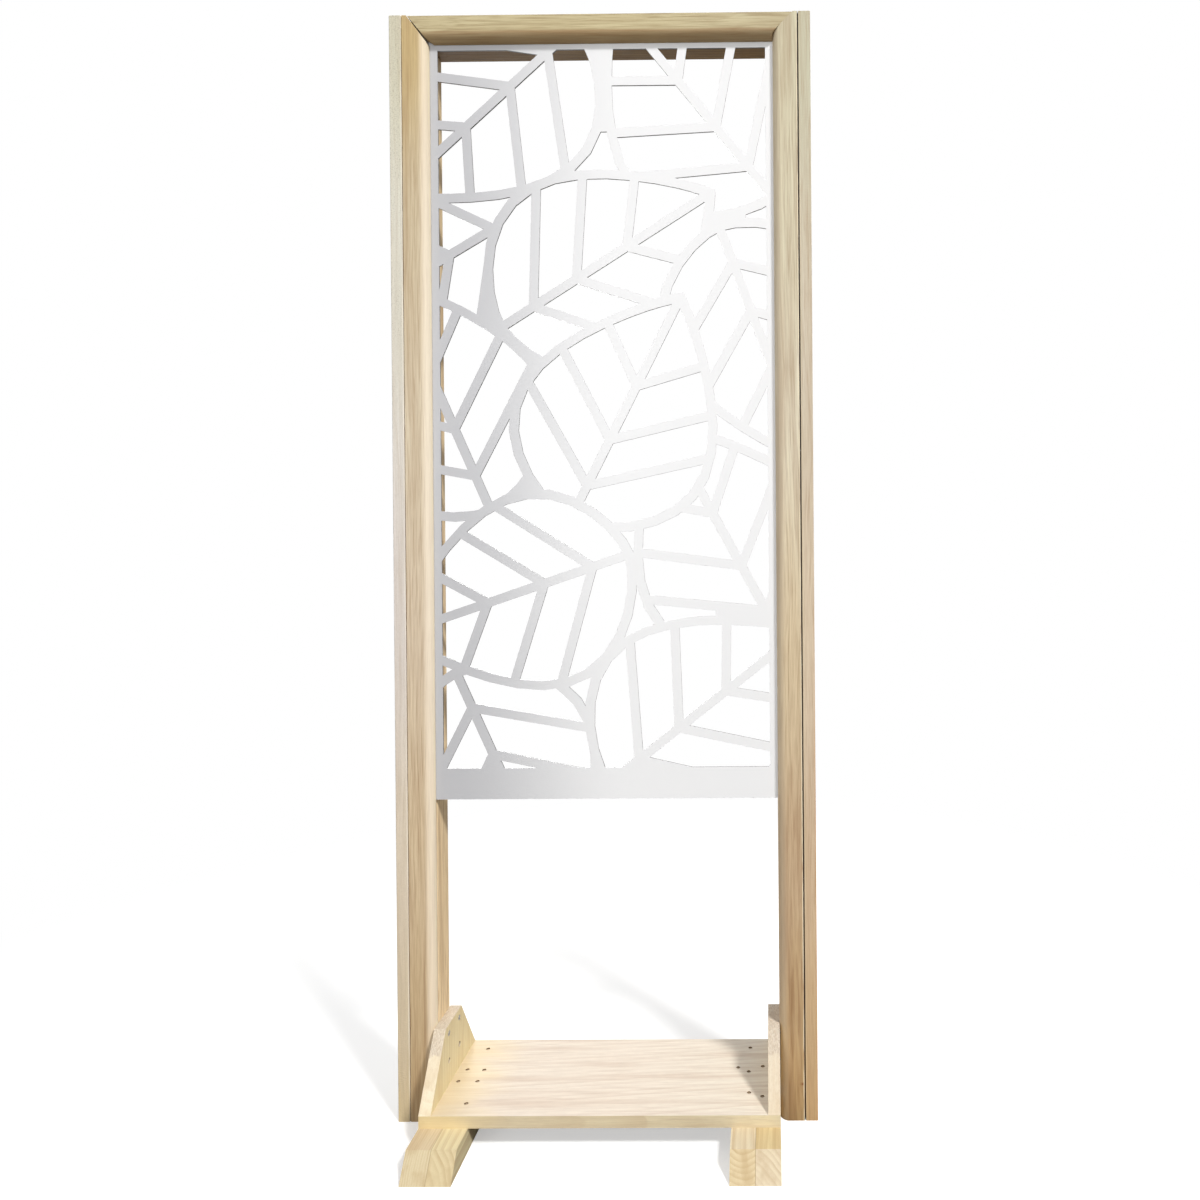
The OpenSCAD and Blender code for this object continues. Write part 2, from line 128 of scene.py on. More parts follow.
class Graph:
    """The nodes of a material or of the world."""

    def __init__(self, tree):
        self.tree = tree

    def add(self, kind, settings=None, inputs=None, out=0):
        """A new node. The result is the output that out names, or a list where out is a tuple.
        A node that ends a graph has no output, and there out is ()."""
        node = self.tree.nodes.new(kind)
        for key, value in (settings or {}).items():
            if key == "stops":
                self.fill_ramp(node.color_ramp, value)
            else:
                setattr(node, key, value)
        for key, value in (inputs or {}).items():
            self.feed(node.inputs[key], value)
        if isinstance(out, tuple):
            return [Value(self, node.outputs[i]) for i in out]
        return Value(self, node.outputs[out])

    def fill_ramp(self, ramp, stops):
        ramp.interpolation = "EASE"
        while len(ramp.elements) < len(stops):
            ramp.elements.new(1.0)
        for mark, (spot, tint) in zip(ramp.elements, stops):
            mark.position, mark.color = spot, tint

    def feed(self, socket, value):
        if isinstance(value, Value):
            self.tree.links.new(value.socket, socket)
        else:
            socket.default_value = value


class Finish(Graph):
    """One material, built round the shader it comes with."""

    def __init__(self, name):
        self.material = bpy.data.materials.new(name)
        self.material.use_nodes = True
        super().__init__(self.material.node_tree)
        self.shader = self.tree.nodes["Principled BSDF"]

    def set(self, **inputs):
        for key, value in inputs.items():
            self.feed(self.shader.inputs[key.replace("_", " ").title()], value)


def colour(red, green, blue):
    """A screen colour, given from 0 to 255, as the linear light that shaders use."""
    def linear(v):
        v /= 255.0
        return v / 12.92 if v <= 0.04045 else ((v + 0.055) / 1.055) ** 2.4
    return (linear(red), linear(green), linear(blue), 1.0)


print("helpers ready")

# %% [markdown]
# The graphs below share a few building blocks. Noise gives the soft irregularity of anything
# that grew. A smooth step turns part of it into a mask, and a blend lays one colour over
# another where the mask says so. Place gives the point on the solid itself, so that a pattern
# goes through a board and comes out on its end, as real grain does. A picture wrapped round the
# board would need unwrapping, and would show a seam there.

# %% Building blocks
FULL_TURN = 2 * math.pi


def place(f):
    where = f.add("ShaderNodeTexCoord", out="Object")
    return f.add("ShaderNodeSeparateXYZ", {}, {0: where}, out=(X, Y, Z))


def point(f, x, y, z):
    return f.add("ShaderNodeCombineXYZ", {}, {0: x, 1: y, 2: z})


def noise(f, at, detail=2.0, rough=0.5):
    """Soft noise from 0 to 1. A number times x in its point is how often it varies a metre."""
    return f.add("ShaderNodeTexNoise", {"noise_dimensions": "3D"},
                 {"Vector": at, "Scale": 1.0, "Detail": detail, "Roughness": rough})


def step(f, value, low, high, to_low=0.0, to_high=1.0):
    return f.add("ShaderNodeMapRange", {"interpolation_type": "SMOOTHSTEP"},
                 {0: value, 1: low, 2: high, 3: to_low, 4: to_high})


def below(f, value, full, none, most=1.0):
    """A step turned round: most where the value is under full, and 0 where it is over none."""
    return step(f, value, full, none, most, 0.0)


def between(f, value, low, low_full, high_full, high):
    """1 inside a range, with a soft limit on either side."""
    return step(f, value, low, low_full) * below(f, value, high_full, high)


def blend(f, mask, under, over, how="MIX"):
    return f.add("ShaderNodeMix", {"data_type": "RGBA", "blend_type": how},
                 {0: mask, 6: under, 7: over}, out=2)


def shade(f, paint, level):
    """Darken or lighten a colour by a number: 1 leaves it as it is."""
    return blend(f, 1.0, paint, point(f, level, level, level), "MULTIPLY")


def facing(f):
    """How squarely the surface faces along X, Y and Z, each from 0 to 1."""
    normal = f.add("ShaderNodeNewGeometry", out="Normal")
    parts = f.add("ShaderNodeSeparateXYZ", {}, {0: normal}, out=(X, Y, Z))
    return [abs(part) for part in parts]


def bump(f, height, depth):
    return f.add("ShaderNodeBump", {}, {"Strength": 1.0, "Distance": depth, "Height": height})


print("building blocks ready")

# %% [markdown]
# Every timber here is a pale softwood, cut from its own part of a log. The recipe starts from
# the log: growth rings are circles round a pith that lies outside the board, and each ring
# darkens slowly and then ends at once. A slow wandering along the length turns the circles into
# the long flames of a sawn face. Blender's own wave texture also draws rings, but all of them
# alike, and it can't part them round a knot.

# %% Growth rings
def growth_rings(f, run, u, v, wander, pith, ring, lean, seed, knots):
    """Dark late wood, from 0 to 1, in rings round the pith. Run goes along the grain, and u
    and v go across it."""
    ripple = noise(f, point(f, run * 11, u * 60 + seed, v * 60), 2.0) - 0.5
    du = u - pith[0] - run * lean
    dv = v - pith[1]
    radius = (du * du + dv * dv) ** 0.5 + wander * (30 * MM) + ripple * (2.4 * MM)
    for near, size in knots:
        radius = radius + below(f, near, 0.0, size * 6, 10 * MM)
    count = radius / ring
    part = count.math("FRACT")
    year = f.add("ShaderNodeTexWhiteNoise", {"noise_dimensions": "1D"},
                 {"W": count.math("FLOOR")})
    return between(f, part, 0.2, 0.92, 0.94, 1.0) * (0.3 + year * 0.7)


print("growth rings ready")

# %% [markdown]
# On top of the rings come wide brown bands, streaks as long as a finger, thin dark lines and
# the finest fibres. All four are one kind of noise, drawn out along the grain. Knots are the
# feet of small branches. The ends of a board show its cut fibres, so the streaks and the lines
# fade there. A picture of real wood would be quicker, but it repeats, and two boards would
# match. A board may add a detail of its own at the end.

# %% The recipe for softwood
KNOT_RED = (128, 66, 34)


def softwood(name, along, tones, dark, pith, ring, rings, bands, streaks, lines, seed,
             fibres=0.4, lean=0.0, knots=(), rough=0.62, gloss=0.35, detail=None):
    """Wood with its grain along one axis. Tones are colours at places along it, ring is the
    width of a year's growth, and rings to fibres are the strengths of the figure. A knot is
    its place across the board, its place along it and its size."""
    f = Finish(name)
    xyz = place(f)
    a, b = [i for i in (X, Y, Z) if i != along]
    run, u, v = xyz[along] + seed * 0.731, xyz[a], xyz[b]
    dark = colour(*dark)

    # The noises, which bend with the grain; fibres are too short to bend
    wander = noise(f, point(f, run * 2.2, u * 9 + seed, v * 9), 2.0) - 0.5
    bent = u + wander * (26 * MM)
    band = noise(f, point(f, run * 2.6, bent * 55 + seed, v * 55), 2.0)
    streak = noise(f, point(f, run * 12, bent * 300 + seed, v * 300), 2.0, 0.55)
    line = noise(f, point(f, run * 14, bent * 780, v * 780 + seed), 2.0, 0.55)
    fibre = noise(f, point(f, run * 110, u * 2300, v * 2300 + seed), 2.0, 0.6)
    end = step(f, facing(f)[along], 0.45, 0.8)
    on_face = 1.0 - end * 0.8

    # Distance from the middle of each knot, stretched along the grain
    near_knots = []
    for across, height, size in knots:
        off_run, off_u = (xyz[along] - height) * 1.5, u - across
        near_knots.append(((off_run * off_run + off_u * off_u) ** 0.5, size))
    late = growth_rings(f, run, u, v, wander, pith, ring, lean, seed, near_knots)
    late = late * step(f, band, 0.30, 0.62, 1.0, 0.45)

    # Tones along the length
    low, high = tones[0][0], tones[-1][0]
    spot = (xyz[along] - low) / (high - low) + (band - 0.5) * 0.15
    paint = f.add("ShaderNodeValToRGB", {"stops": [
        ((height - low) / (high - low), colour(*tint)) for height, tint in tones]}, {0: spot})

    # The figure: dark marks, and between them wood that is lighter than its tone
    paint = blend(f, step(f, band, 0.42, 0.72) * bands, paint, dark)
    paint = blend(f, late * rings, paint, dark)
    paint = blend(f, step(f, streak, 0.46, 0.70) * on_face * streaks, paint, dark)
    paint = blend(f, step(f, line, 0.50, 0.70) * on_face * lines, paint, dark)
    light = 1.0 + ((0.5 - streak) * streaks + (0.5 - line) * lines) * on_face * 0.5
    paint = shade(f, paint, light + (fibre - 0.5) * fibres * 0.5)

    # A knot is a hard red brown core in a darkened ring of wood
    for near, size in near_knots:
        ragged = near + (streak - 0.5) * size
        paint = blend(f, below(f, ragged, size, size * 3.5, 0.5), paint, dark)
        core = below(f, ragged, size * 0.7, size * 1.2, 0.95)
        paint = blend(f, core, paint, colour(*KNOT_RED))

    # Ends are a little darker than the faces, with the cut fibres as fine dots
    paint = shade(f, paint, 1.0 - end * 0.05 - end * step(f, line, 0.5, 0.7) * 0.03)

    height = fibre * 0.3 + line * 0.3 + streak * 0.3 + late * 0.25
    if detail:
        paint, height = detail(f, xyz, paint, height, end)
    f.set(base_color=paint, roughness=rough + (fibre - 0.5) * 0.2 + end * 0.15,
          normal=bump(f, height, 0.4 * MM))
    f.shader.inputs["Specular IOR Level"].default_value = gloss
    return f.material


def dress(node, material):
    for slot in nodes[node].material_slots:
        slot.material = material


print("softwood recipe ready")

# %% [markdown]
# The two front uprights and the rail over them are planed battens, honey at the top and browner
# near the floor, where they took up damp in dark flames. Each gets its own pith, seed and
# streaks, so that no two match. Beside the open joints and along the rounded edges a pale,
# uneven
# line runs down the wood: a painted highlight on the corner. The rounded edges are painted
# lighter as painted light, the open joints darker as painted shade, and the underside of the
# rail's rounded edge brown as painted shade. Such marks could be painted on by hand. A mask
# made from the place on the wood is sharper, and it can be changed in one number. The right
# batten has a small red knot near its foot.

# %% Front battens
# Painted shade for the open joints: brown on the left, grey on the right.
BROWN_JOINT_SHADE, GREY_JOINT_SHADE = (150, 104, 78), (92, 76, 76)
DAMP_BROWN = (132, 92, 58)
ARRIS_HIGHLIGHT = (238, 226, 194)
SHADED_BROWN = (136, 100, 62)


def painted_joint_shade(f, xyz, paint, joint_shade):
    """Painted shade in the open joint between a batten and its side board."""
    x, y, _ = xyz
    inside = between(f, abs(x), BOARD_INSIDE - 4 * MM, BOARD_INSIDE - 2.5 * MM,
                     BOARD_INSIDE + 1 * MM, BOARD_INSIDE + 1.5 * MM)
    inside = inside * below(f, y, FRONT + 6.5 * MM, FRONT + 7.5 * MM)
    return blend(f, inside * step(f, facing(f)[X], 0.78, 0.9), paint, colour(*joint_shade))


def damp_and_painted_edges(arris, round_highlight, round_highlight_strength, joint_shade, damp):
    """A painted highlight along an upright's corner at the given X, a rounded edge painted
    lighter as painted light, brown flames low down where damp came in, and painted shade in the
    joint."""
    def detail(f, xyz, paint, height, end):
        x, y, z = xyz
        flame = noise(f, point(f, x * 210 + arris, y * 210, z * 8), 3.0, 0.6)
        flame = step(f, flame, 0.48, 0.66) * below(f, z, 0.30, 0.80, damp)
        paint = blend(f, flame, paint, colour(*DAMP_BROWN))
        # The rounded edge is painted lighter: painted light.
        rounded_highlight = below(f, abs(x), POST_INSIDE + 4 * MM, POST_INSIDE + 16 * MM)
        paint = blend(f, rounded_highlight * round_highlight_strength, paint, colour(*round_highlight))
        # The pale, uneven line along the corner is a painted highlight.
        patchy = step(f, noise(f, point(f, x * 40, y * 40, z * 14), 3.0, 0.6), 0.34, 0.54)
        arris_highlight = below(f, abs(x - arris), 0.5 * MM, 1.2 * MM) * patchy
        arris_highlight = arris_highlight * below(f, y, FRONT + 8 * MM, FRONT + 13.5 * MM)
        paint = blend(f, arris_highlight * 0.7, paint, colour(*ARRIS_HIGHLIGHT))
        return painted_joint_shade(f, xyz, paint, joint_shade), height
    return detail


def shaded_underside(f, xyz, paint, height, end):
    """The lower part of the top rail's rounded edge is painted brown: painted shade where it
    faces down.
    """
    x, y, z = xyz
    ragged = (noise(f, point(f, x * 30, y * 30, z * 400), 2.0) - 0.5) * (1.2 * MM)
    # Painted shade on the downward part of the rounded edge.
    under = below(f, z + ragged, RAIL_BOTTOM + 13 * MM, RAIL_BOTTOM + 15.5 * MM, 0.55)
    return blend(f, under, paint, colour(*SHADED_BROWN)), height


dress("left_front_batten", softwood(
    "left front batten wood", Z,
    tones=[(0.0, (186, 160, 122)), (0.14, (198, 174, 137)), (0.40, (210, 189, 156)),
           (0.75, (213, 196, 171)), (1.10, (215, 201, 175)), (1.40, (202, 186, 156)),
           (1.69, (200, 178, 130))],
    dark=(148, 110, 72), pith=(-0.276, 0.040), ring=0.0042, lean=0.03, seed=1.7,
    rings=0.30, bands=0.26, streaks=0.22, lines=0.32,
    detail=damp_and_painted_edges(-(POST_INSIDE + 0.4 * MM), round_highlight=(244, 232, 212),
                      round_highlight_strength=0.60, joint_shade=BROWN_JOINT_SHADE, damp=0.28)))
dress("right_front_batten", softwood(
    "right front batten wood", Z,
    tones=[(0.0, (183, 152, 108)), (0.15, (190, 161, 121)), (0.38, (198, 172, 139)),
           (0.65, (212, 193, 160)), (1.10, (223, 214, 190)), (1.40, (211, 203, 176)),
           (1.69, (204, 198, 170))],
    dark=(138, 96, 60), pith=(0.272, 0.030), ring=0.0046, lean=-0.025, seed=4.2,
    rings=0.26, bands=0.40, streaks=0.22, lines=0.28, knots=[(0.2982, 0.056, 1.8 * MM)],
    detail=damp_and_painted_edges(BOARD_INSIDE - 2.5 * MM, round_highlight=(226, 206, 176),
                      round_highlight_strength=0.50, joint_shade=GREY_JOINT_SHADE, damp=0.42)))
dress("top_front_batten", softwood(
    "top front batten wood", X,
    tones=[(-0.3, (193, 180, 143)), (0.0, (196, 183, 145)), (0.3, (196, 185, 151))],
    dark=(134, 104, 62), pith=(0.02, 1.700), ring=0.0040, lean=0.02, seed=7.9,
    rings=0.40, bands=0.32, streaks=0.36, lines=0.34, detail=shaded_underside))
print("front battens dressed")

# %% [markdown]
# The side boards differ most from each other. The left one came rough from the saw and has gone
# pale and grey. Near the floor the blade left slanting arcs, and higher up it tore fibres out
# and left rows of small dimples. The right one is planed, warm in colour, and browner low down.
# The marks are about a tenth of a millimetre deep. Cut into the mesh, they would take millions
# of faces, so a bump stands for them. It changes only how the surface takes the light.

# %% Side boards
ARC_PITCH, RIDGE_PITCH = 3.4 * MM, 4.2 * MM
SAW_MIDDLE = BOARD_OUTSIDE + 20.5 * MM
TORN_BROWN = (150, 128, 94)
LEFT_EDGE_HIGHLIGHT, RIGHT_EDGE_HIGHLIGHT = (246, 240, 222), (240, 224, 184)
WARM_EDGE = (196, 132, 66)


def rough_sawn(f, xyz, paint, height, end):
    """Arcs of the blade, torn dimples, a painted highlight on the corner beside the joint, and
    painted shade in the joint.
    """
    x, y, z = xyz
    fuzz = noise(f, point(f, x * 520, y * 520, z * 330), 3.0, 0.6)
    patch = noise(f, point(f, x * 25, y * 25, z * 9), 2.0)

    # Arcs of the blade near the floor
    bend = (x + y + SAW_MIDDLE) ** 2.0 * 26.0 + (x + y) * 0.3
    shift = (noise(f, point(f, x * 190, y * 190, z * 120), 2.0) - 0.5) * (6 * MM)
    ridge = ((z + bend + shift) * (FULL_TURN / ARC_PITCH)).math("SINE") * 0.5 + 0.5
    arcs = ridge * below(f, z, 0.18, 0.36) * step(f, patch, 0.34, 0.60)

    # Dimples higher up, most of them near the top
    torn = noise(f, point(f, x * 430, y * 430, z * 620), 2.0, 0.6)
    crowd = step(f, z + (patch - 0.5) * 1.2, 0.95, 1.5, 0.18, 1.0) * step(f, z, 0.1, 0.3)
    dimple = step(f, torn, 0.42, 0.72) * crowd

    light = 1.06 + (fuzz - 0.5) * 0.16 - dimple * 0.18 + (arcs - 0.4) * 0.06
    paint = shade(f, paint, light)
    paint = blend(f, step(f, torn, 0.60, 0.72) * crowd * 0.35, paint, colour(*TORN_BROWN))
    # A painted highlight: a pale line on the board's corner beside the joint.
    bright = below(f, abs(x + (BOARD_INSIDE + 0.8 * MM)), 0.4 * MM, 1.3 * MM, 0.55)
    bright = bright * step(f, patch, 0.35, 0.6, 0.3)
    paint = blend(f, bright, paint, colour(*LEFT_EDGE_HIGHLIGHT))
    paint = painted_joint_shade(f, xyz, paint, BROWN_JOINT_SHADE)
    return paint, height * 0.6 + fuzz * 0.6 - dimple * 0.3 + arcs * 0.3


def lightly_sawn(f, xyz, paint, height, end):
    """Faint ridges, a painted highlight on the corner beside the joint, a warm outer edge low
    down, and painted shade in the joint.
    """
    x, y, z = xyz
    shift = (noise(f, point(f, x * 150, y * 150, z * 80), 2.0) - 0.5) * (8 * MM)
    ridge = ((z + y * 0.2 + shift) * (FULL_TURN / RIDGE_PITCH)).math("SINE") * 0.5 + 0.5
    patchy = step(f, noise(f, point(f, x * 30, y * 30, z * 7), 2.0), 0.46, 0.66)
    paint = shade(f, paint, 1.0 + (ridge - 0.5) * patchy * 0.02)
    # A painted highlight: a pale line on the board's corner beside the joint.
    edge = below(f, abs(x - (BOARD_INSIDE + 1.2 * MM)), 0.3 * MM, 0.8 * MM, 0.4)
    paint = blend(f, edge, paint, colour(*RIGHT_EDGE_HIGHLIGHT))
    warm = step(f, x, BOARD_OUTSIDE - 2 * MM, BOARD_OUTSIDE - 0.3 * MM)
    warm = warm * below(f, z, 0.5, 0.9, 0.55)
    warm = warm * below(f, y, FRONT + 1 * MM, FRONT + 2.5 * MM)
    paint = blend(f, warm, paint, colour(*WARM_EDGE))
    return painted_joint_shade(f, xyz, paint, GREY_JOINT_SHADE), height + ridge * patchy * 0.12


dress("left_side_board", softwood(
    "rough grey board", Z,
    tones=[(0.0, (206, 186, 148)), (0.16, (205, 189, 162)), (0.4, (212, 198, 178)),
           (0.8, (216, 208, 202)), (1.3, (215, 211, 198)), (1.69, (208, 205, 185))],
    dark=(170, 148, 116), pith=(-0.36, 0.02), ring=0.008, seed=2.9,
    rings=0.16, bands=0.20, streaks=0.14, lines=0.14, rough=0.85, gloss=0.2,
    detail=rough_sawn))
dress("right_side_board", softwood(
    "brown side board", Z,
    tones=[(0.0, (199, 165, 121)), (0.14, (200, 171, 132)), (0.35, (207, 182, 151)),
           (0.65, (212, 194, 169)), (1.2, (206, 195, 174)), (1.69, (196, 194, 170))],
    dark=(158, 118, 78), pith=(0.38, -0.06), ring=0.0056, lean=0.01, seed=6.3,
    rings=0.22, bands=0.24, streaks=0.22, lines=0.24, detail=lightly_sawn))
print("side boards dressed")

# %% [markdown]
# The rear battens carry the frame. They are warmer in colour than the front ones and are seen
# through the sheet and below it. The left one is painted paler near the floor, as painted
# light, where the front batten and the sheet shade it. The rear rail lies in the shade, and its
# tones are painted dark brown as painted shade. They need no detail of their own: the recipe
# with other numbers gives other pieces of wood.

# %% Rear battens
# Its pale tones near the floor are painted light, where the front batten and the sheet shade
# it.
dress("left_rear_batten", softwood(
    "left rear batten wood", Z,
    tones=[(0.0, (244, 220, 180)), (0.6, (244, 220, 180)), (1.69, (222, 200, 158))],
    dark=(168, 126, 82), pith=(-0.25, 0.075), ring=0.0052, lean=0.02, seed=9.4,
    rings=0.32, bands=0.35, streaks=0.30, lines=0.28))
dress("right_rear_batten", softwood(
    "right rear batten wood", Z,
    tones=[(0.0, (208, 178, 138)), (0.6, (216, 190, 150)), (1.69, (212, 188, 150))],
    dark=(164, 122, 78), pith=(0.275, 0.08), ring=0.0055, lean=-0.02, seed=3.3,
    rings=0.34, bands=0.35, streaks=0.32, lines=0.28, knots=[(0.285, 0.93, 4 * MM)]))
# Its dark brown tones are painted shade, for the shade that the rail lies in.
dress("top_rear_batten", softwood(
    "top rear batten wood", X,
    tones=[(-0.27, (140, 110, 68)), (0.0, (144, 114, 70)), (0.27, (142, 112, 68))],
    dark=(88, 64, 38), pith=(0.02, 1.60), ring=0.0055, lean=0.03, seed=5.6,
    rings=0.36, bands=0.35, streaks=0.32, lines=0.28))
print("rear battens dressed")

# %% [markdown]
# The deck is a nearly white board with soft rosy streaks, yellower at its left end and along
# its front edge. Its screws sit deep, and their holes are painted dark inside, as painted
# shade.
# One even tone would look like plastic here, and strong rings would look like another wood. So
# the rings are wide and soft, and a fine mottle lies over them.

# %% Deck board
HOLE_SHADE_BROWN = (88, 64, 44)
DECK_YELLOW = (228, 207, 162)
YELLOW_UP_TO, PLAIN_FROM = -0.25, -0.13


def deck_face(f, xyz, paint, height, end):
    """Yellower at the left end and the front edge, and painted shade inside the screw holes."""
    x, y, z = xyz
    cloud = noise(f, point(f, x * 12, y * 30, z * 30), 2.0) - 0.5
    mottle = noise(f, point(f, x * 55, y * 110, z * 110), 3.0, 0.6) - 0.5
    paint = shade(f, paint, 1.0 + mottle * 0.12)
    left = below(f, x + cloud * 0.12, YELLOW_UP_TO, PLAIN_FROM, 0.6)
    paint = blend(f, left, paint, colour(*DECK_YELLOW))
    front = step(f, facing(f)[Y], 0.5, 0.9)
    paint = blend(f, front, paint, point(f, 0.97, 0.93, 0.75), "MULTIPLY")
    # Painted shade on the walls of the screw holes.
    hole = below(f, abs(x), DECK_END - 1 * MM, DECK_END - 0.5 * MM)
    hole = hole * below(f, abs(y), DECK_EDGE - 1.5 * MM, DECK_EDGE - 1 * MM)
    hole = hole * between(f, z, DECK_BOTTOM + 0.5 * MM, DECK_BOTTOM + 1 * MM,
                          DECK_TOP - 0.6 * MM, DECK_TOP - 0.2 * MM)
    return blend(f, hole * 0.85, paint, colour(*HOLE_SHADE_BROWN)), height


dress("deck_board", softwood(
    "deck wood", X,
    tones=[(-DECK_END, (217, 206, 191)), (0.0, (220, 208, 192)), (DECK_END, (222, 213, 197))],
    dark=(180, 152, 130), pith=(-0.03, 0.0), ring=0.0105, lean=0.10, seed=8.1,
    rings=0.40, bands=0.40, streaks=0.16, lines=0.18, detail=deck_face))
print("deck dressed")

# %% [markdown]
# The cheeks are a little yellower than the deck, and their grain stands upright. The upper part
# of each cheek's slope was chipped by a blunt saw and shows rough, pinkish grey wood. The low
# screws sit deeper than the high ones, and their holes are painted dark at the top, as painted
# shade. The chips could be torn out of the mesh, but the solids stay as they are, so a change
# of colour and a coarser bump make them. The way a face points tells the slopes from the inner
# and outer faces.

# %% Cheeks
CHIP_PALE, CHIP_GREY = (222, 209, 191), (190, 170, 148)


def chipped_top(f, xyz, paint, height, end):
    """Rough wood high on the slopes, yellower inner and outer faces, and painted shade in the
    low holes, darkest at the top.
    """
    x, y, z = xyz
    sloping = 1.0 - step(f, facing(f)[X], 0.4, 0.7)
    ragged = noise(f, point(f, x * 130, y * 60, z * 60), 3.0, 0.6)
    chips = noise(f, point(f, x * 700, y * 160 + z * 160, z * 160), 3.0, 0.6)
    chipped = step(f, z + (ragged - 0.5) * (20 * MM), CHEEK_TOP - 32 * MM, CHEEK_TOP - 27 * MM)
    chipped = sloping * chipped
    rosy = blend(f, step(f, chips, 0.35, 0.70), colour(*CHIP_PALE), colour(*CHIP_GREY))
    paint = blend(f, 1.0 - sloping, paint, point(f, 1.03, 1.01, 0.84), "MULTIPLY")
    paint = blend(f, chipped * 0.7, paint, rosy)
    # Painted shade in the low screw holes, darkest at the top.
    hole = between(f, abs(x), CHEEK_INSIDE + 0.2 * MM, CHEEK_INSIDE + 0.5 * MM,
                   CHEEK_OUTSIDE - 1 * MM, CHEEK_OUTSIDE - 0.5 * MM)
    hole = hole * below(f, abs(z - LOW_SCREWS), 6 * MM, 7 * MM)
    hole = hole * below(f, abs(y), 35 * MM, 37 * MM)
    hole = hole * step(f, z, LOW_SCREWS - 3 * MM, LOW_SCREWS + 2 * MM, 0.2, 0.85)
    paint = blend(f, hole, paint, colour(*HOLE_SHADE_BROWN))
    return paint, height + chipped * step(f, chips, 0.3, 0.7) * 1.4


dress("left_cheek", softwood(
    "left cheek wood", Z,
    tones=[(DECK_TOP, (230, 217, 190)), (0.1, (230, 218, 193)), (CHEEK_TOP, (228, 215, 189))],
    dark=(192, 160, 112), pith=(-0.28, 0.05), ring=0.009, lean=0.1, seed=0.6,
    rings=0.24, bands=0.28, streaks=0.14, lines=0.14, fibres=0.3, detail=chipped_top))
dress("right_cheek", softwood(
    "right cheek wood", Z,
    tones=[(DECK_TOP, (217, 203, 179)), (0.1, (218, 205, 183)), (CHEEK_TOP, (212, 202, 183))],
    dark=(192, 164, 128), pith=(0.29, -0.06), ring=0.008, lean=-0.1, seed=1.1,
    rings=0.26, bands=0.30, streaks=0.14, lines=0.14, fibres=0.3, detail=chipped_top))
print("cheeks dressed")

# %% [markdown]
# The four foot timbers are straw-coloured, with strong rings. Their grain runs along them, so
# they end in sawn end grain at the front and at the back, and each end has a tint of its own.
# They differ only in numbers, so a short list and a loop dress all four.

# %% Feet
SEAM_BROWN = (136, 106, 70)
FOOT_DARK = (172, 138, 92)


def sawn_foot(tint, end_tint):
    """An end of its own tint, and a thin dark line where the two timbers of a foot meet."""
    change = tuple(new / old for new, old in zip(colour(*end_tint), colour(*tint)))

    def detail(f, xyz, paint, height, end):
        paint = blend(f, end * 0.6, paint, change, "MULTIPLY")
        seam = below(f, abs(abs(xyz[X]) - FOOT_SEAM), 0.3 * MM, 0.9 * MM, 0.4)
        return blend(f, seam, paint, colour(*SEAM_BROWN)), height
    return detail


# Node, tint, tint of the ends, pith, seed, ring
FEET = [("left_outer_foot", (213, 195, 162), (208, 195, 160), (-0.62, 0.03), 12.1, 0.0038),
        ("left_inner_foot", (223, 210, 171), (201, 182, 144), (-0.30, -0.05), 13.7, 0.0080),
        ("right_outer_foot", (216, 196, 150), (221, 209, 189), (0.20, -0.06), 14.4, 0.0060),
        ("right_inner_foot", (224, 211, 182), (209, 187, 142), (0.215, 0.07), 15.9, 0.0056)]
for node, tint, end_tint, pith, seed, ring in FEET:
    dress(node, softwood(
        node.replace("_", " ") + " wood", Y,
        tones=[(-FOOT_END, tint), (FOOT_END, tint)],
        dark=FOOT_DARK, pith=pith, ring=ring, seed=seed,
        rings=0.50, bands=0.34, streaks=0.12, lines=0.12, detail=sawn_foot(tint, end_tint)))
print(len(FEET), "feet dressed")

# %% [markdown]
# The sheet is hardboard with a smooth white face. Its lacquer has a silky sheen. Its tone goes
# softly from grey on the left to white across the width: painted shade, greyer towards the
# left.
# The cut edges are duller and dark, partly as raw board and partly as painted shade, and the
# margins that run in the slots are painted dark as painted shade. A thin, clear coat over the
# paint gives the sheen. A glossier paint alone would mirror the lamps.

# %% White sheet
SHEET_SHADE_GREY, SHEET_WHITE = (186, 186, 189), (234, 234, 235)
SHADE_UP_TO, WHITE_FROM = -0.255, 0.04
SLOT_SHADE, CUT_EDGE_AND_SHADE = (92, 84, 78), (104, 103, 103)


def white_sheet():
    f = Finish("white lacquered sheet")
    x, y, z = place(f)
    cloud = noise(f, point(f, x * 3, y, z * 3), 2.0)
    peel = noise(f, point(f, x * 420, y * 420, z * 420), 2.0)
    # Painted shade: the sheet is greyer towards the left.
    white = step(f, x + (cloud - 0.5) * (30 * MM), SHADE_UP_TO, WHITE_FROM)
    paint = blend(f, white, colour(*SHEET_SHADE_GREY), colour(*SHEET_WHITE))
    # Painted shade on the margins that run in the slots.
    margin = step(f, abs(x), POST_INSIDE + 1.4 * MM, POST_INSIDE + 2 * MM)
    paint = blend(f, margin, paint, colour(*SLOT_SHADE))
    # The cut edges are darker: raw board, with painted shade.
    cut = 1.0 - step(f, facing(f)[Y], 0.2, 0.8)
    paint = blend(f, cut * 0.9, paint, colour(*CUT_EDGE_AND_SHADE))
    f.set(base_color=paint, roughness=0.34 + (peel - 0.5) * 0.12 + cut * 0.2,
          normal=bump(f, peel, 0.04 * MM))
    f.shader.inputs["Coat Weight"].default_value = 0.2
    f.shader.inputs["Coat Roughness"].default_value = 0.2
    return f.material


dress("leaf_panel", white_sheet())
print("sheet dressed")

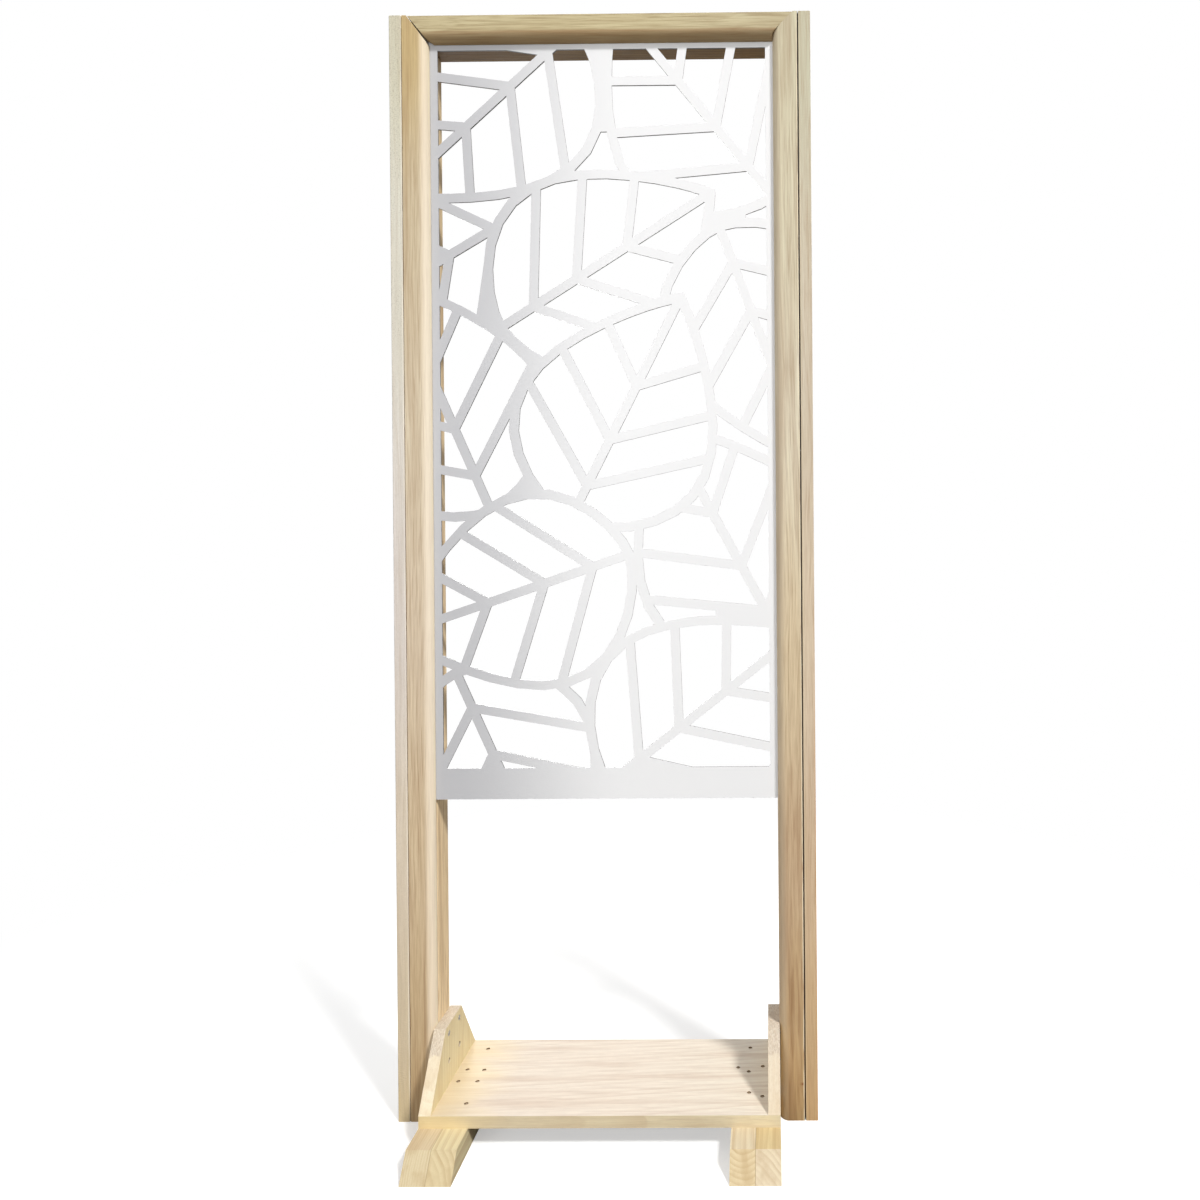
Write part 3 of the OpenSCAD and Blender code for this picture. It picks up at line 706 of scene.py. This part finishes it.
# %% [markdown]
# The screws have a bright zinc coat with fine turning marks. Those in the deck and low in the
# cheeks sit deeper, and dust and wood meal have filled them. Shade is painted in their holes
# and on the upper half of the low cheek screws' heads, so from the front they look like small
# dark dots. The screws and pins in the posts are dusty too, near the floor. Each could have a
# steel of its own. One recipe with the height up to which the dust lies makes both steels, and
# keeps them alike.

# %% Screws and pins
ZINC, STAINED_ZINC = (236, 236, 238), (170, 168, 166)
MEAL_PALE, DARK_MEAL_AND_SHADE = (186, 160, 124), (96, 76, 56)
NOWHERE = -1.0
DUSTY_SETS = ("deck_screws", "left_cheek_screws", "right_cheek_screws")


def screw_steel(name, dusty_below):
    """Zinc plated steel, dusty below the given height. The dust is pale below the low screws'
    middle and dark above it, which paints shade on the upper half of their heads.
    """
    f = Finish(name)
    x, y, z = place(f)
    spin = noise(f, point(f, x * 2600, y * 2600, z * 2600), 3.0, 0.6)
    stain = step(f, noise(f, point(f, x * 700, y * 700, z * 700), 2.0), 0.35, 0.7)
    dust = below(f, z, dusty_below - 2 * MM, dusty_below + 2 * MM)
    behind_face = step(f, abs(x), CHEEK_INSIDE + 2.5 * MM, CHEEK_INSIDE + 4 * MM)
    dust = dust.math("MAXIMUM", behind_face * below(f, z, 0.20, 0.21))
    # Above the low screws' middle the dust is dark: painted shade on the upper half of their
    # heads.
    high = step(f, z, LOW_SCREWS - 1.5 * MM, LOW_SCREWS + 1.5 * MM)
    meal_and_shade = blend(f, high, colour(*MEAL_PALE), colour(*DARK_MEAL_AND_SHADE))
    paint = blend(f, stain * 0.4, colour(*ZINC), colour(*STAINED_ZINC))
    paint = blend(f, dust * (0.75 + stain * 0.2), paint, meal_and_shade)
    f.set(base_color=paint, metallic=1.0 - dust * 0.8,
          roughness=0.30 + spin * 0.16 + stain * 0.12 + dust * 0.3,
          normal=bump(f, spin, 0.05 * MM))
    return f.material


fasteners = [name for name in nodes if name.endswith("screws") or name == "batten_pins"]
clean_steel = screw_steel("zinc plated steel", NOWHERE)
dusty_steel = screw_steel("dusty steel", LOW_SCREWS + 22 * MM)
for name in fasteners:
    dress(name, dusty_steel if name in DUSTY_SETS else clean_steel)
print(len(fasteners), "sets of fasteners dressed")

# %% [markdown]
# No worked edge is perfectly sharp. A bevel breaks the edges of the timbers by half a
# millimetre, and those of the sheet by less, so that they catch the light. The solids arrive as
# loose triangles, and a bevel finds no edge between loose faces. So the triangles are welded
# first, and those that lie in one plane are merged. After the bevel, the normals are weighted
# by area, which keeps the flat faces flat and the rounded ones smooth. All of this is done by
# modifiers, and the solids themselves stay as they are.

# %% Soften the edges
TIMBER_EDGE, SHEET_EDGE = 0.5 * MM, 0.3 * MM
WELD_GAP = 0.002 * MM
ONE_PLANE, SHARP = math.radians(0.2), math.radians(25)


def soften(node, width):
    """Round a solid's sharp edges by a width, through modifiers alone."""
    piece = nodes[node]
    weld = piece.modifiers.new("joined triangles", "WELD")
    weld.merge_threshold = WELD_GAP
    merge = piece.modifiers.new("whole faces", "DECIMATE")
    merge.decimate_type, merge.angle_limit = "DISSOLVE", ONE_PLANE
    bevel = piece.modifiers.new("broken edge", "BEVEL")
    bevel.width, bevel.segments = width, 2
    bevel.limit_method, bevel.angle_limit = "ANGLE", SHARP
    bevel.use_clamp_overlap = True
    flat = piece.modifiers.new("flat faces", "WEIGHTED_NORMAL")
    flat.mode, flat.weight = "FACE_AREA", 100


timbers = [name for name in nodes if name not in fasteners and name != "leaf_panel"]
for name in timbers:
    soften(name, TIMBER_EDGE)
soften("leaf_panel", SHEET_EDGE)
print("softened", len(timbers) + 1, "pieces")

# %% [markdown]
# The studio is plain: a pale floor, a white surround and three soft lamps. The key lamp stands
# far off and high on the right, where the sun stood. Its light grazes the left post's rounded
# edge and leaves the underside of the top rail in the shade, and because it is far off, the
# frame is as bright at the foot as at the top. A weak lamp in front fills the shadows. It is
# left out of reflections, or it would lie on the sheet as a haze. One behind lights the back.

# %% Lamps
MIDDLE = Vector((0.0, 0.0, 0.8))
WARM, NEUTRAL, COOL = (1.0, 0.99, 0.975), (1.0, 1.0, 1.0), (0.97, 0.985, 1.0)


def lamp(name, distance, turn, rise, size, watts, tint):
    """A round lamp aimed at the middle, turned to the right of the front by an angle."""
    light = bpy.data.lights.new(name, "AREA")
    light.shape, light.size, light.energy, light.color = "DISK", size, watts, tint
    holder = bpy.data.objects.new(name, light)
    a, b = math.radians(turn), math.radians(rise)
    away = Vector((math.sin(a) * math.cos(b), -math.cos(a) * math.cos(b), math.sin(b)))
    holder.location = MIDDLE + away * distance
    holder.rotation_euler = (-away).to_track_quat("-Z", "Y").to_euler()
    bpy.context.scene.collection.objects.link(holder)
    return holder


lamp("key lamp", distance=14.0, turn=44, rise=47, size=2.0, watts=1800, tint=WARM)
fill = lamp("fill lamp", distance=6.7, turn=-16, rise=9, size=3.0, watts=160, tint=COOL)
fill.visible_glossy = False
lamp("back lamp", distance=6.4, turn=197, rise=8, size=2.4, watts=230, tint=NEUTRAL)
print("lamps ready")

# %% [markdown]
# The surround is the world's background. To the camera, and in whatever is shiny or clear, it
# is plain white. The light that it sends onto the wood is a different matter: a white world
# would wash out every shadow, so that light is weak from below and grows towards the top.

# %% Surround
WHITE = (1.0, 1.0, 1.0, 1.0)
UP_LOW, UP_HIGH = -0.3, 0.6
LIGHT_LOW, LIGHT_HIGH = 0.05, 0.42

world = bpy.data.worlds.new("surround")
world.use_nodes = True
bpy.context.scene.world = world
world.node_tree.nodes.clear()
sky = Graph(world.node_tree)
way = sky.add("ShaderNodeTexCoord", out="Generated")
up = sky.add("ShaderNodeSeparateXYZ", {}, {0: way}, out=Z)
level = sky.add("ShaderNodeMapRange", {},
                {0: up, 1: UP_LOW, 2: UP_HIGH, 3: LIGHT_LOW, 4: LIGHT_HIGH})
seen, through, mirrored = [sky.add("ShaderNodeLightPath", out=kind) for kind in (
    "Is Camera Ray", "Is Transmission Ray", "Is Glossy Ray")]
white_there = seen.math("MAXIMUM", through).math("MAXIMUM", mirrored)
strength = sky.add("ShaderNodeMix", {"data_type": "FLOAT"}, {0: white_there, 2: level, 3: 1.0})
glow = sky.add("ShaderNodeBackground", {}, {"Color": WHITE, "Strength": strength})
sky.add("ShaderNodeOutputWorld", {}, {"Surface": glow}, out=())
print("surround ready")

# %% [markdown]
# The floor is one large flat sheet. Near the divider it is lit and takes its shadow. Farther
# out it fades into plain white, so no horizon shows. Rays that do not come from the camera see
# a darker floor, which keeps the undersides of the wood from being lit from below. A curved
# backdrop would hide the horizon as well, but only from the front.

# %% Floor
FLOOR_REACH = 12.0
SHADOWS_UP_TO, WHITE_BEYOND = 0.5, 1.6
PALE_FLOOR, DIM_FLOOR = (226, 226, 226), (130, 128, 124)

corners = [(-FLOOR_REACH, -FLOOR_REACH, 0), (FLOOR_REACH, -FLOOR_REACH, 0),
           (FLOOR_REACH, FLOOR_REACH, 0), (-FLOOR_REACH, FLOOR_REACH, 0)]
floor_mesh = bpy.data.meshes.new("floor")
floor_mesh.from_pydata(corners, [], [(0, 1, 2, 3)])
floor = bpy.data.objects.new("floor", floor_mesh)
bpy.context.scene.collection.objects.link(floor)

f = Finish("pale floor")
f.set(base_color=colour(*PALE_FLOOR), roughness=0.9)
lift = f.add("ShaderNodeEmission", {}, {"Color": WHITE, "Strength": 0.4})
white = f.add("ShaderNodeEmission", {}, {"Color": WHITE, "Strength": 1.0})
dim = f.add("ShaderNodeBsdfDiffuse", {}, {"Color": colour(*DIM_FLOOR)})
lit = f.add("ShaderNodeAddShader", {}, {0: Value(f, f.shader.outputs[0]), 1: lift})
floor_x, floor_y, _ = place(f)
distance = (floor_x * floor_x + floor_y * floor_y) ** 0.5
far = step(f, distance, SHADOWS_UP_TO, WHITE_BEYOND)
near_and_far = f.add("ShaderNodeMixShader", {}, {0: far, 1: lit, 2: white})
by_camera = f.add("ShaderNodeLightPath", out="Is Camera Ray")
mixed = f.add("ShaderNodeMixShader", {}, {0: by_camera, 1: dim, 2: near_and_far})
f.feed(f.tree.nodes["Material Output"].inputs["Surface"], mixed)
floor.data.materials.append(f.material)
print("floor ready")
